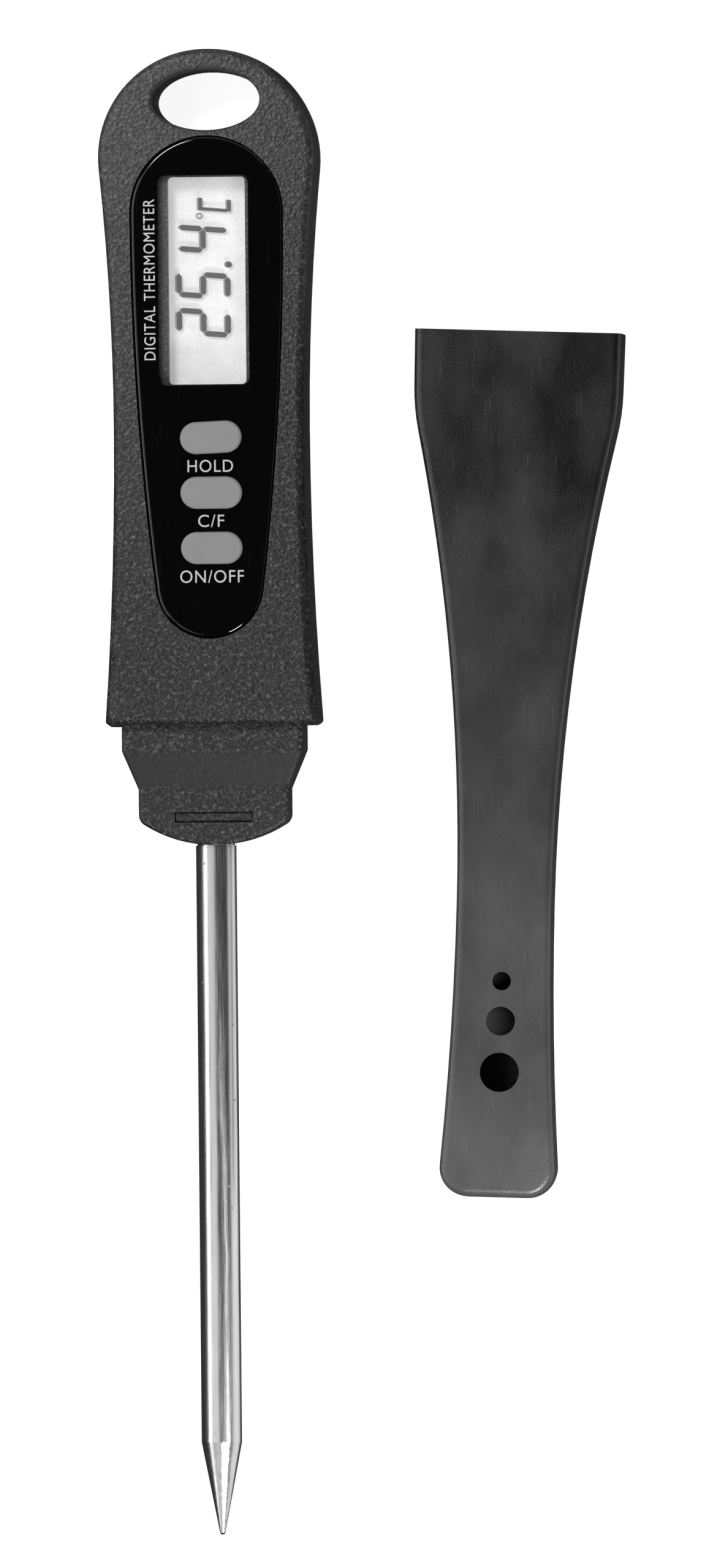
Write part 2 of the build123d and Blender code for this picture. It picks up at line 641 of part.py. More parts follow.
with BuildPart() as battery_cell:
    with BuildSketch(Plane.XY.offset(CELL_BOTTOM)):
        with Locations((0, BATTERY_Y)):
            Circle(CELL_RADIUS)
    extrude(amount=CELL_THICKNESS)
    fillet(battery_cell.edges(), CELL_EDGE)
    # groove between the can and the smaller cap
    with BuildSketch(Plane.XY.offset(CELL_TOP - CELL_EDGE)):
        with Locations((0, BATTERY_Y)):
            Circle(CELL_RADIUS)
            Circle(CELL_CAP_RADIUS, mode=Mode.SUBTRACT)
    extrude(amount=CELL_EDGE, mode=Mode.SUBTRACT)

with BuildPart() as battery_contact_positive:
    with BuildSketch(Plane.YZ):
        with Locations((BATTERY_Y + CELL_RADIUS + CONTACT_GAP, BOARD_BACK)):
            Rectangle(STRIP, CELL_THICKNESS - 1.2, align=(Align.MIN, Align.MAX))
            Rectangle(2 * CONTACT_HALF_WIDTH + 0.2, STRIP, align=(Align.MIN, Align.MAX))
    extrude(amount=CONTACT_HALF_WIDTH, both=True)

with BuildPart() as battery_contact_negative:
    with BuildSketch(Plane.YZ):
        with BuildLine():
            Polyline(
                (BATTERY_Y - 9.0, BOARD_BACK),
                (BATTERY_Y - 5.0, BOARD_BACK),
                (BATTERY_Y, CELL_TOP + SPRING + 0.02),
                (BATTERY_Y + 1.5, CELL_TOP + SPRING + 0.02),
                (BATTERY_Y + 1.5, CELL_TOP + 0.02),
                (BATTERY_Y, CELL_TOP + 0.02),
                (BATTERY_Y - 5.0, BOARD_BACK - SPRING),
                (BATTERY_Y - 9.0, BOARD_BACK - SPRING),
                close=True,
            )
        make_face()
    extrude(amount=CONTACT_HALF_WIDTH, both=True)

with BuildPart() as battery_door:
    with BuildSketch(Plane.XY.offset(DOOR_BOTTOM)):
        with Locations((0, BATTERY_Y)):
            Circle(DOOR_RADIUS)
    extrude(amount=DOOR_TOP - DOOR_BOTTOM)
    chamfer(battery_door.edges().group_by(Axis.Z)[0], DOOR_CHAMFER)
    with BuildSketch(Plane.XY.offset(DOOR_TOP)):
        with Locations((0, BATTERY_Y)):
            Circle(DOOR_RIM_OUTER)
            Circle(DOOR_RIM_INNER, mode=Mode.SUBTRACT)
            Circle(DOOR_PAD_RADIUS)
    extrude(amount=CELL_BOTTOM - DOOR_TOP)
    with BuildSketch(Plane.XY.offset(CELL_BOTTOM)):
        with Locations((0, BATTERY_Y)):
            Circle(DOOR_RIM_OUTER)
            Circle(DOOR_RIM_INNER, mode=Mode.SUBTRACT)
    extrude(amount=DOOR_RIM_HEIGHT)
    # bayonet lugs
    with BuildSketch(battery_plane(LUG_BOTTOM)):
        for side in (0, 180):
            add(lug_sector(LUG_RADIUS, side, LUG_ANGLE))
        Circle(DOOR_RIM_OUTER - 0.6, mode=Mode.SUBTRACT)
    extrude(amount=LUG_THICKNESS)
    # coin slot
    with BuildSketch(Plane.XY.offset(DOOR_BOTTOM)):
        with Locations((0, BATTERY_Y)):
            SlotOverall(COIN_SLOT_LENGTH, COIN_SLOT_WIDTH)
    extrude(amount=COIN_SLOT_DEPTH, mode=Mode.SUBTRACT)
    # groove for the seal
    with BuildSketch(Plane.YZ):
        with Locations((BATTERY_Y + DOOR_RADIUS - SEAL_INSET, SEAL_Z)):
            Circle(SEAL_SECTION)
    revolve(axis=Axis((0, BATTERY_Y, 0), (0, 0, 1)), mode=Mode.SUBTRACT)

with BuildPart() as battery_door_seal:
    with BuildSketch(Plane.YZ):
        with Locations((BATTERY_Y + DOOR_RADIUS - SEAL_INSET, SEAL_Z)):
            Circle(SEAL_SECTION)
    revolve(axis=Axis((0, BATTERY_Y, 0), (0, 0, 1)))

# ---------------------------------------------------------------- probe

PROBE_AXIS = Axis((0, 0, PARTING_Z), (0, 1, 0))

with BuildPart() as probe_tube:
    with BuildSketch(Plane.XY.offset(PARTING_Z)):
        with BuildLine():
            tip = JernArc((0, TIP_Y), (1, 0), TIP_RADIUS, TIP_ARC)
            Line(tip @ 1, (PROBE_RADIUS, CONE_Y))
            Polyline(
                (PROBE_RADIUS, CONE_Y),
                (PROBE_RADIUS, NECK_END_Y - PROBE_STEP_OUT),
                (PROBE_HELD_RADIUS, NECK_END_Y - PROBE_STEP_OUT),
                (PROBE_HELD_RADIUS, SHOULDER_Y + PROBE_INNER_END),
                (INNER_RADIUS, SHOULDER_Y + PROBE_INNER_END),
                (INNER_RADIUS, CONE_Y),
                (TIP_BORE_RADIUS, INNER_TIP_Y),
                (0, INNER_TIP_Y),
                (0, TIP_Y),
            )
        make_face()
    revolve(axis=PROBE_AXIS)

with BuildPart() as probe_collar:
    with BuildSketch(Plane.XZ.offset(-NECK_CAVITY_END_Y)):
        with Locations((0, PARTING_Z)):
            Circle(COLLAR_RADIUS)
            Circle(PROBE_HELD_RADIUS, mode=Mode.SUBTRACT)
    extrude(amount=COLLAR_LENGTH)

with BuildPart() as thermistor_leads:
    for side in (-LEAD_SPACING, LEAD_SPACING):
        with BuildLine(Plane.YZ.offset(side)) as lead_path:
            FilletPolyline(
                (BEAD_Y + BEAD_RADIUS / 2, PARTING_Z),
                (SHOULDER_Y + LEAD_RUN[0], PARTING_Z),
                (SHOULDER_Y + LEAD_RUN[1], LEAD_TOP_Z),
                (SHOULDER_Y + LEAD_RUN[2], LEAD_TOP_Z),
                radius=LEAD_BEND,
            )
        with BuildSketch(Plane.XZ.offset(-BEAD_Y - BEAD_RADIUS / 2)):
            with Locations((side, PARTING_Z)):
                Circle(LEAD_RADIUS)
        sweep(path=lead_path.wires()[0])

with BuildPart() as thermistor_bead:
    with Locations((0, BEAD_Y, PARTING_Z)):
        Sphere(BEAD_RADIUS)
    add(thermistor_leads.part, mode=Mode.SUBTRACT)

with BuildPart() as tip_filling:
    with BuildSketch(Plane.XY.offset(PARTING_Z)):
        with BuildLine():
            Polyline(
                (0, INNER_TIP_Y),
                (TIP_BORE_RADIUS, INNER_TIP_Y),
                (INNER_RADIUS, CONE_Y),
                (INNER_RADIUS, CONE_Y + FILLING_RISE),
                (0, CONE_Y + FILLING_RISE),
                close=True,
            )
        make_face()
    revolve(axis=PROBE_AXIS)
    add(thermistor_leads.part, mode=Mode.SUBTRACT)
    add(thermistor_bead.part, mode=Mode.SUBTRACT)

with BuildPart() as probe_plug:
    with BuildSketch(Plane.XZ.offset(-SHOULDER_Y - PROBE_INNER_END)):
        with Locations((0, PARTING_Z)):
            Circle(INNER_RADIUS)
    extrude(amount=PLUG_LENGTH)
    add(thermistor_leads.part, mode=Mode.SUBTRACT)

# ---------------------------------------------------------------- sheath

LEAN = math.radians(SHEATH_LEAN)
SHEATH_RIGHT = (math.cos(LEAN), -math.sin(LEAN), 0)
SHEATH_UP = (math.sin(LEAN), math.cos(LEAN), 0)


def sheath_plan(z):
    """Plan plane of the sheath: its mouth on the local X axis, its closed end towards local -Y."""
    return Plane((SHEATH_MOUTH_X, SHEATH_MOUTH_Y, z), x_dir=SHEATH_RIGHT, z_dir=(0, 0, 1))


def sheath_outline(inset=0.0, length=SHEATH_LENGTH, overrun=0.0):
    """Plan face of the sheath: straight mouth, long waisted taper, rounded closed end."""
    bend = SHEATH_NECK_HALF - SHEATH_WAIST_HALF
    run = SHEATH_WAIST - SHEATH_BEND
    taper_radius = (run**2 + bend**2) / (2 * bend)
    flare = SHEATH_END_HALF - SHEATH_WAIST_HALF
    tail = SHEATH_LENGTH - SHEATH_WAIST
    flare_radius = (tail**2 + flare**2) / (2 * flare)
    neck_x = SHEATH_WAIST_HALF + taper_radius - math.sqrt((taper_radius + inset) ** 2 - run**2)
    end_run = length - SHEATH_WAIST
    end_x = SHEATH_WAIST_HALF + flare_radius - math.sqrt((flare_radius + inset) ** 2 - end_run**2)
    waist = (SHEATH_WAIST_HALF - inset, -SHEATH_WAIST)
    with BuildSketch() as outline:
        with BuildLine():
            Polyline((0, overrun), (SHEATH_MOUTH_HALF - inset, overrun), (neck_x, -SHEATH_BEND))
            TangentArc(waist, (neck_x, -SHEATH_BEND), tangent=(0, 1))
            TangentArc(waist, (end_x, -length), tangent=(0, -1))
            Line((end_x, -length), (0, -length))
            mirror(about=Plane.YZ)
        make_face()
        bends = outline.vertices().filter_by_position(Axis.Y, -SHEATH_BEND - 0.1, -SHEATH_BEND + 0.1)
        fillet(bends, SHEATH_BEND_RADIUS)
        corners = outline.vertices().group_by(Axis.Y)[0]
        corners = ShapeList([v for v in corners if abs(v.X) > 1])
        fillet(corners, SHEATH_END_CORNER - inset)
    return outline.sketch


def sheath_side(inset=0.0):
    """Side face of the sheath: flat back, front face that slopes in along two equal arcs."""
    middle = (SHEATH_SLOPE_START + SHEATH_SLOPE_END) / 2
    drop = (SHEATH_MOUTH_THICKNESS - SHEATH_END_THICKNESS) / 2
    high = SHEATH_MOUTH_THICKNESS - inset
    low = SHEATH_END_THICKNESS - inset
    turn = (-middle, high - drop)
    with BuildSketch() as outline:
        with BuildLine():
            Line((0, inset), (0, high))
            Line((0, high), (-SHEATH_SLOPE_START, high))
            TangentArc((-SHEATH_SLOPE_START, high), turn, tangent=(-1, 0))
            TangentArc((-SHEATH_SLOPE_END, low), turn, tangent=(1, 0))
            end = -SHEATH_LENGTH
            Polyline((-SHEATH_SLOPE_END, low), (end, low), (end, inset), (0, inset))
        make_face()
    return outline.sketch


SHEATH_SECTION = Plane((SHEATH_MOUTH_X, SHEATH_MOUTH_Y, 0), x_dir=SHEATH_UP, z_dir=SHEATH_RIGHT)

with BuildPart() as sheath_cavity:
    with BuildSketch(sheath_plan(0)):
        add(sheath_outline(SHEATH_WALL, SHEATH_LENGTH - SHEATH_END_WALL))
    extrude(amount=SHEATH_MOUTH_THICKNESS)
    with BuildSketch(SHEATH_SECTION):
        add(sheath_side(SHEATH_WALL))
    extrude(amount=FAR, both=True, mode=Mode.INTERSECT)

with BuildPart() as sheath:
    with BuildSketch(sheath_plan(SHEATH_MOUTH_THICKNESS / 2)):
        add(sheath_outline(overrun=SHEATH_OVERRUN))
    extrude(amount=SHEATH_MOUTH_THICKNESS / 2, taper=DRAFT)
    mirror(about=sheath_plan(SHEATH_MOUTH_THICKNESS / 2))
    with BuildSketch(SHEATH_SECTION):
        add(sheath_side())
    extrude(amount=FAR, both=True, mode=Mode.INTERSECT)
    rims = [e for e in sheath.edges() if not 0.1 < e.center().Z < SHEATH_END_THICKNESS - 1]
    across = [e for e in rims if abs((e % 0.5).dot(Vector(*SHEATH_RIGHT))) > 0.999 and e.length > 12]
    long_edges = [e for e in rims if e not in across and abs((e % 0.5).Z) < 0.9]
    closed_end = [e for e in across if e.center().Y < SHEATH_MOUTH_Y - SHEATH_LENGTH + 3]
    fillet(ShapeList(long_edges + closed_end), SHEATH_EDGE)
    add(sheath_cavity.part, mode=Mode.SUBTRACT)
    for distance, radius in VENTS:
        with BuildSketch(sheath_plan(SHEATH_END_THICKNESS / 2)):
            with Locations((0, -distance)):
                Circle(radius)
        extrude(amount=FAR, mode=Mode.SUBTRACT)

# ---------------------------------------------------------------- export

pieces = {
    "front_housing": front_housing.part,
    "back_housing": back_housing.part,
    "display_panel": display_panel.part,
    "display_window": display_window.part,
    "display_gasket": display_gasket.part,
    "lcd_glass": lcd_glass.part,
    "lcd_reflector": lcd_reflector.part,
    "zebra_strips": zebra_strips.part,
    "circuit_board": circuit_board.part,
    "board_screws": board_screws.part,
    "controller_chip": controller_chip.part,
    "board_components": board_components.part,
    "keypad_sheet": keypad_sheet.part,
    "battery_cell": battery_cell.part,
    "battery_contact_positive": battery_contact_positive.part,
    "battery_contact_negative": battery_contact_negative.part,
    "battery_door": battery_door.part,
    "battery_door_seal": battery_door_seal.part,
    "probe_tube": probe_tube.part,
    "probe_collar": probe_collar.part,
    "probe_plug": probe_plug.part,
    "thermistor_bead": thermistor_bead.part,
    "thermistor_leads": thermistor_leads.part,
    "tip_filling": tip_filling.part,
    "sheath": sheath.part,
}
for key in KEY_HEIGHTS:
    pieces[f"key_{key}"] = make_key(key)
    pieces[f"contact_pill_{key}"] = make_pill(key)

os.makedirs("parts", exist_ok=True)
for name, piece in pieces.items():
    piece.label = name
    export_step(piece, f"parts/{name}.step")
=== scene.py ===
"""Looks of a digital darkroom thermometer and its pulled-off sheath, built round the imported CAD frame.

Everything is in metres in the frame of the CAD model: X across the handle, Y along it towards the
hanging hole, Z out of the display. Named lengths are in millimetres and go through MM, but the places
and sizes of the lights and the camera's distance and clipping are in metres.
"""

import math

import bmesh
import bpy
from mathutils import Matrix, Vector


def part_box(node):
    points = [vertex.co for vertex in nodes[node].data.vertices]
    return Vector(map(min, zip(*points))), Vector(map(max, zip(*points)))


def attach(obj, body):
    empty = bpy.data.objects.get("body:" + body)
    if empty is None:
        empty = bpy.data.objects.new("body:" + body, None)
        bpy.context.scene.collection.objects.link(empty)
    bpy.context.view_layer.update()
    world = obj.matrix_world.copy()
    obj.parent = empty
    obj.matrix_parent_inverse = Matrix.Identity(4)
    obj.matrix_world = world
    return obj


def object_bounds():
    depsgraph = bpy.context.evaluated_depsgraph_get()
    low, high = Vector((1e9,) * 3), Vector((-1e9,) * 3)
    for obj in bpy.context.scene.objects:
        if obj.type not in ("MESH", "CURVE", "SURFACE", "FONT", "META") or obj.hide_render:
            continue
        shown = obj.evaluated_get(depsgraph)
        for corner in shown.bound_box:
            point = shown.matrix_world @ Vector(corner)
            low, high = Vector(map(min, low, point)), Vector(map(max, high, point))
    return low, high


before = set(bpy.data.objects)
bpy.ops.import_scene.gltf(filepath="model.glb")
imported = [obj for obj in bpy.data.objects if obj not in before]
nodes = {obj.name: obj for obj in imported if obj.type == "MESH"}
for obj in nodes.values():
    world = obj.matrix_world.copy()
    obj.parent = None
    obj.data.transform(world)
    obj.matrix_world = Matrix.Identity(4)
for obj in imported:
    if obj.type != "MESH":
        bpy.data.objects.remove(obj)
cad_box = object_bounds()

MM = 0.001
ROOT = "thermometer"

# ---------------------------------------------------------------- places in the frame

SHOULDER_Y = -45.5
PANEL_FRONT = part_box("display_panel")[1].z / MM
REFLECTOR_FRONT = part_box("lcd_reflector")[1].z / MM
PROBE_START_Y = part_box("front_housing")[0].y / MM
DOOR_LOW, DOOR_HIGH = (Vector(corner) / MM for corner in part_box("battery_door"))
DOOR_X = (DOOR_LOW.x + DOOR_HIGH.x) / 2
DOOR_Y = (DOOR_LOW.y + DOOR_HIGH.y) / 2


# ---------------------------------------------------------------- node helpers

# Agreement of the bevelled and the plain normal where an edge starts to show, and where it is full.
EDGE_MATCH = (0.995, 0.9)
BEVEL_SAMPLES = 4


class Finish:
    """A Principled material under construction. Sockets take numbers or other nodes' outputs."""

    def __init__(self, name, **constants):
        self.material = bpy.data.materials.new(name)
        self.material.use_nodes = True
        self.tree = self.material.node_tree
        self.shader = self.tree.nodes["Principled BSDF"]
        self.place = self.add("ShaderNodeTexCoord").outputs["Object"]
        for socket, value in constants.items():
            self.set(socket.replace("_", " "), value)

    def set(self, socket, value):
        """Sets or links one input of the shader."""
        target = self.shader.inputs[socket]
        if isinstance(value, bpy.types.NodeSocket):
            self.tree.links.new(value, target)
        elif target.type == "RGBA" and not hasattr(value, "__len__"):
            target.default_value = (value, value, value, 1)
        else:
            target.default_value = value

    def add(self, kind, inputs=(), **settings):
        """Adds a node; inputs pairs each socket's name or number with a value or an output."""
        node = self.tree.nodes.new(kind)
        for key, value in settings.items():
            setattr(node, key, value)
        for key, value in dict(inputs).items():
            if isinstance(value, bpy.types.NodeSocket):
                self.tree.links.new(value, node.inputs[key])
            else:
                node.inputs[key].default_value = value
        return node

    def noise(self, size, detail=2.0, roughness=0.5, stretch=(1, 1, 1), distortion=0.0):
        """Noise whose blotches are about size millimetres, from 0 to 1."""
        scale = tuple(1 / (size * MM * s) for s in stretch)
        place = self.add("ShaderNodeMapping", {"Vector": self.place, "Scale": scale}).outputs[0]
        inputs = {"Vector": place, "Scale": 1, "Detail": detail}
        inputs.update({"Roughness": roughness, "Distortion": distortion})
        return self.add("ShaderNodeTexNoise", inputs).outputs["Fac"]

    def cells(self, size):
        """Distance to the nearest of scattered points about size millimetres apart."""
        inputs = {"Vector": self.place, "Scale": 1 / (size * MM)}
        return self.add("ShaderNodeTexVoronoi", inputs).outputs["Distance"]

    def math(self, operation, a, b=0.0, clamp=False):
        """One step of arithmetic."""
        return self.add("ShaderNodeMath", {0: a, 1: b}, operation=operation, use_clamp=clamp).outputs[0]

    def times(self, a, b):
        """Product of two values."""
        return self.math("MULTIPLY", a, b)

    def blend(self, *parts):
        """Sum of (value, weight) pairs."""
        total = None
        for value, weight in parts:
            term = value if weight == 1 else self.times(value, weight)
            total = term if total is None else self.math("ADD", total, term)
        return total

    def span(self, value, low, high, to_low=0.0, to_high=1.0, smooth=False):
        """Maps value from low..high to to_low..to_high, held at the ends."""
        kind = "SMOOTHSTEP" if smooth else "LINEAR"
        inputs = {"Value": value, "From Min": low, "From Max": high, "To Min": to_low, "To Max": to_high}
        return self.add("ShaderNodeMapRange", inputs, interpolation_type=kind).outputs[0]

    def grey(self, value, low, high):
        """Grey colour between two albedos."""
        ramp = self.add("ShaderNodeValToRGB", {"Fac": value})
        for element, level in zip(ramp.color_ramp.elements, (low, high)):
            element.color = (level, level, level, 1)
        return ramp.outputs["Color"]

    def bump(self, height, depth, strength=1.0):
        """Bumps the surface by height times depth millimetres."""
        inputs = {"Height": height, "Distance": depth * MM, "Strength": strength}
        self.set("Normal", self.add("ShaderNodeBump", inputs).outputs[0])

    def axis(self, name):
        """One coordinate of the surface, in millimetres."""
        parts = self.add("ShaderNodeSeparateXYZ", {0: self.place}).outputs
        return self.times(parts[name], 1 / MM)

    def facing(self, name):
        """One component of the surface's own normal."""
        normal = self.add("ShaderNodeNewGeometry").outputs["True Normal"]
        return self.add("ShaderNodeSeparateXYZ", {0: normal}).outputs[name]

    def edges(self, radius):
        """1 on convex and concave edges within radius millimetres, 0 on flat ground."""
        soft = self.add("ShaderNodeBevel", {"Radius": radius * MM}, samples=BEVEL_SAMPLES).outputs[0]
        plain = self.add("ShaderNodeNewGeometry").outputs["Normal"]
        match = self.add("ShaderNodeVectorMath", {0: soft, 1: plain}, operation="DOT_PRODUCT")
        return self.span(match.outputs["Value"], *EDGE_MATCH)


def paint(node_names, material):
    """Puts a material on every slot of the CAD nodes named."""
    for name in node_names:
        for slot in nodes[name].material_slots:
            slot.material = material


# ---------------------------------------------------------------- finishes
# The two numbers after a span's value are where it starts and where it is full.

# The housing is smooth on the neck's slope and on the wall of the hanging hole; that wall is also painted
# paler, as painted light.
NECK_SLOPE_LOW = SHOULDER_Y - 9.0
NECK_SLOPE_HIGH = SHOULDER_Y - 3.4
SLOPE_BLEND = 1.0
SLOPE_SMOOTHNESS = 0.8
WALL_FACING = (0.75, 0.3)
HOLE_Y = (29.0, 31.0)
HOLE_X = (9.0, 8.2)

# The housing is painted paler towards its upper left, a painted sheen where the top-left lamp falls: the
# line's two numbers bound Y less the lean times X.
PAINTED_SHEEN_LINE = (-20.0, 55.0)
PAINTED_SHEEN_LEAN = 1.5
PAINTED_SHEEN_TONE = 0.22

# The sheath is painted darker near its mouth and paler towards its closed end, as painted shade and
# painted sheen of the lamps.
SHEATH_PAINTED_SHADE_Y = 5.0
SHEATH_PAINTED_SHEEN_Y = -110.0


def textured_plastic():
    """Black moulded plastic with a coarse sparked grain, pale specks on its peaks that are painted glints,
    a painted sheen towards its upper left and painted light on the hanging hole's wall.
    """
    f = Finish("sparked_black_plastic", Specular_IOR_Level=0.34)
    grain = f.noise(0.5, detail=3, roughness=0.6, distortion=0.4)
    fine = f.noise(0.16, detail=2)
    pits = f.cells(0.5)
    y = f.axis("Y")
    slope = f.times(
        f.span(y, NECK_SLOPE_LOW, NECK_SLOPE_LOW + SLOPE_BLEND, smooth=True),
        f.span(y, NECK_SLOPE_HIGH, NECK_SLOPE_HIGH - SLOPE_BLEND, smooth=True),
    )
    wall = f.times(f.span(f.math("ABSOLUTE", f.facing("Z")), *WALL_FACING), f.span(y, *HOLE_Y))
    # This mask of the hanging hole's wall makes it smooth, and the tone below paints it paler: painted
    # light on the wall.
    hole_wall_smooth_and_painted_lit = f.times(wall, f.span(f.math("ABSOLUTE", f.axis("X")), *HOLE_X))
    smooth_part = f.math("MAXIMUM", f.times(slope, SLOPE_SMOOTHNESS), hole_wall_smooth_and_painted_lit)
    rough_part = f.math("SUBTRACT", 1.0, smooth_part, clamp=True)
    height = f.blend((grain, 0.7), (fine, 0.2), (pits, 0.5))
    f.bump(f.times(height, rough_part), depth=0.2)
    # Painted glints: the grain's peaks are painted pale, where the lamps would glint on them.
    painted_glints = f.times(f.span(grain, 0.5, 0.72, smooth=True), rough_part)
    wear = f.times(f.edges(0.5), f.span(f.noise(3.0, detail=4), 0.4, 0.65))
    # Painted sheen: the housing's colour pales towards its upper left, where the top-left lamp's sheen
    # falls.
    line = f.math("SUBTRACT", y, f.times(f.axis("X"), PAINTED_SHEEN_LEAN))
    painted_sheen = f.span(line, *PAINTED_SHEEN_LINE, to_high=PAINTED_SHEEN_TONE)
    tone = f.blend((painted_sheen, 1), (painted_glints, 0.75), (hole_wall_smooth_and_painted_lit, 0.45), (wear, 0.2), (fine, 0.2))
    f.set("Base Color", f.grey(tone, low=0.0005, high=0.08))
    sheen = f.span(fine, 0.3, 0.7, to_low=0.32, to_high=0.46)
    f.set("Roughness", f.blend((sheen, 1), (wear, -0.08), (slope, 0.2)))
    return f.material


def smooth_plastic():
    """Black moulded plastic with a fine satin grain and faint handling marks."""
    f = Finish("satin_black_plastic", Specular_IOR_Level=0.42)
    grain = f.noise(0.2, detail=2, roughness=0.6)
    cloud = f.noise(9.0, detail=3, roughness=0.55, stretch=(1, 1.8, 1))
    rubs = f.noise(0.3, detail=2, stretch=(1, 22, 1))
    wear = f.times(f.edges(0.45), f.span(f.noise(2.5, detail=4), 0.42, 0.62))
    f.bump(f.blend((grain, 1), (rubs, 0.15)), depth=0.05, strength=0.7)
    # Painted shade and sheen: the colour is dark near the mouth and pales towards the closed end.
    sheath_painted_sheen = f.span(f.axis("Y"), SHEATH_PAINTED_SHADE_Y, SHEATH_PAINTED_SHEEN_Y, to_low=-0.3, to_high=0.5)
    clouded = f.span(cloud, 0.3, 0.7, to_high=0.35)
    tone = f.blend((sheath_painted_sheen, 1), (grain, 0.35), (clouded, 1), (f.span(rubs, 0.66, 0.75), 0.25), (wear, 0.3))
    f.set("Base Color", f.grey(tone, low=0.003, high=0.07))
    sheen = f.span(cloud, 0.3, 0.7, to_low=0.24, to_high=0.32)
    f.set("Roughness", f.blend((sheen, 1), (wear, -0.1)))
    return f.material


def gloss_panel():
    """Polished black display panel with hairline scratches."""
    f = Finish("polished_black_panel", IOR=1.49)
    haze = f.noise(4.0, detail=4)
    scratch = f.noise(0.25, detail=2, stretch=(1, 40, 1))
    f.set("Base Color", f.grey(f.span(scratch, 0.7, 0.78), low=0.0003, high=0.006))
    hazed = f.span(haze, 0.35, 0.7, to_low=0.03, to_high=0.07)
    scratched = f.span(scratch, 0.68, 0.76, to_high=0.08)
    f.set("Roughness", f.blend((hazed, 1), (scratched, 1)))
    f.bump(scratch, depth=0.002, strength=0.2)
    return f.material


def clear_window():
    """Clear moulded display window."""
    f = Finish("clear_window", Alpha=0.05, IOR=1.49)
    haze = f.noise(5.0, detail=3)
    f.set("Base Color", f.grey(haze, low=0.5, high=0.7))
    f.set("Roughness", f.span(haze, 0.3, 0.7, to_low=0.02, to_high=0.06))
    return f.material


def lcd_glass():
    """Glass of the liquid crystal display."""
    f = Finish("display_glass", Alpha=0.04, IOR=1.5)
    haze = f.noise(6.0, detail=2)
    f.set("Base Color", f.grey(haze, low=0.45, high=0.6))
    f.set("Roughness", f.span(haze, 0.3, 0.7, to_low=0.05, to_high=0.1))
    return f.material


def reflector():
    """Finely grained silver-grey ground behind the display, glowing a little: painted light that evens out
    the shade of the display's well.
    """
    f = Finish("display_ground", Specular_IOR_Level=0.3, Emission_Color=1.0, Emission_Strength=0.38)
    grain = f.noise(0.22, detail=3, roughness=0.75)
    soft = f.noise(2.5, detail=2)
    tone = f.blend((grain, 0.75), (soft, 0.25))
    f.set("Base Color", f.grey(f.span(tone, 0.35, 0.65), low=0.36, high=0.66))
    f.set("Roughness", f.span(grain, 0.3, 0.7, to_low=0.5, to_high=0.7))
    f.bump(grain, depth=0.01, strength=0.5)
    return f.material


def key_rubber():
    """Grey silicone rubber with a matte grain, a little shiny where fingers press."""
    f = Finish("grey_key_rubber", IOR=1.43)
    grain = f.noise(0.12, detail=2)
    rub = f.noise(2.2, detail=3)
    rim = f.edges(0.35)
    f.set("Base Color", f.grey(f.blend((grain, 0.5), (rub, 0.5)), low=0.155, high=0.2))
    sheen = f.span(rub, 0.35, 0.65, to_low=0.62, to_high=0.5)
    f.set("Roughness", f.blend((sheen, 1), (rim, -0.06)))
    f.bump(grain, depth=0.015, strength=0.6)
    return f.material


def probe_steel():
    """Drawn stainless steel, ground lengthwise, with a few dark pits and painted shade darkening the part
    within the neck.
    """
    f = Finish("drawn_stainless_steel", Metallic=1.0, Anisotropic=0.5)
    lines = f.noise(0.12, detail=3, roughness=0.6, stretch=(1, 60, 1))
    bands = f.noise(0.5, detail=2, stretch=(1, 120, 1))
    pits = f.span(f.cells(3.4), 0.07, 0.04)
    # Painted shade: the tube is painted dark where it runs into the neck's shadow.
    painted_neck_shade = f.span(f.axis("Y"), PROBE_START_Y - 0.5, PROBE_START_Y + 1.5)
    tone = f.blend((lines, 0.5), (bands, 0.5), (pits, -0.9))
    bright = f.times(f.span(tone, 0.2, 0.75, to_low=0.55), f.math("SUBTRACT", 1.0, painted_neck_shade))
    f.set("Base Color", f.grey(bright, low=0.005, high=0.62))
    sheen = f.span(lines, 0.3, 0.7, to_low=0.2, to_high=0.34)
    f.set("Roughness", f.blend((sheen, 1), (pits, 0.3)))
    f.bump(f.math("SUBTRACT", lines, pits), depth=0.006, strength=0.6)
    return f.material


DARK_SHARE, PALE_SHARE = 0.75, 1.15
SHINY_SHARE, DULL_SHARE = 0.85, 1.2


def inner_finish(name, albedo, roughness, metallic=0.0, size=0.4):
    """Finish of a small inner part: a mottled grey with a fine grain."""
    f = Finish(name, Metallic=metallic)
    grain = f.noise(size, detail=3)
    f.set("Base Color", f.grey(f.span(grain, 0.3, 0.7), albedo * DARK_SHARE, albedo * PALE_SHARE))
    dull = min(1.0, roughness * DULL_SHARE)
    f.set("Roughness", f.span(grain, 0.3, 0.7, roughness * SHINY_SHARE, dull))
    f.bump(grain, depth=0.02, strength=0.5)
    return f.material


def printed_ink():
    """Light grey screen-printed ink."""
    f = Finish("printed_ink")
    grain = f.noise(0.1, detail=2)
    f.set("Base Color", f.grey(grain, low=0.32, high=0.46))
    f.set("Roughness", f.span(grain, 0.3, 0.7, to_low=0.4, to_high=0.55))
    return f.material


def crystal(name, opacity, size, low, high):
    """Finish of the reading's films: a faintly grained grey of the opacity given."""
    f = Finish(name, Specular_IOR_Level=0.1, Alpha=opacity)
    grain = f.noise(size, detail=1)
    f.set("Base Color", f.grey(grain, low, high))
    f.set("Roughness", f.span(grain, 0.3, 0.7, to_low=0.6, to_high=0.8))
    return f.material


ink = printed_ink()
paint(["front_housing", "back_housing", "battery_door"], textured_plastic())
paint(["sheath"], smooth_plastic())
paint(["display_panel"], gloss_panel())
paint(["display_window"], clear_window())
paint(["lcd_glass"], lcd_glass())
paint(["lcd_reflector"], reflector())
paint(["key_hold", "key_unit", "key_power", "keypad_sheet"], key_rubber())
paint(["probe_tube"], probe_steel())

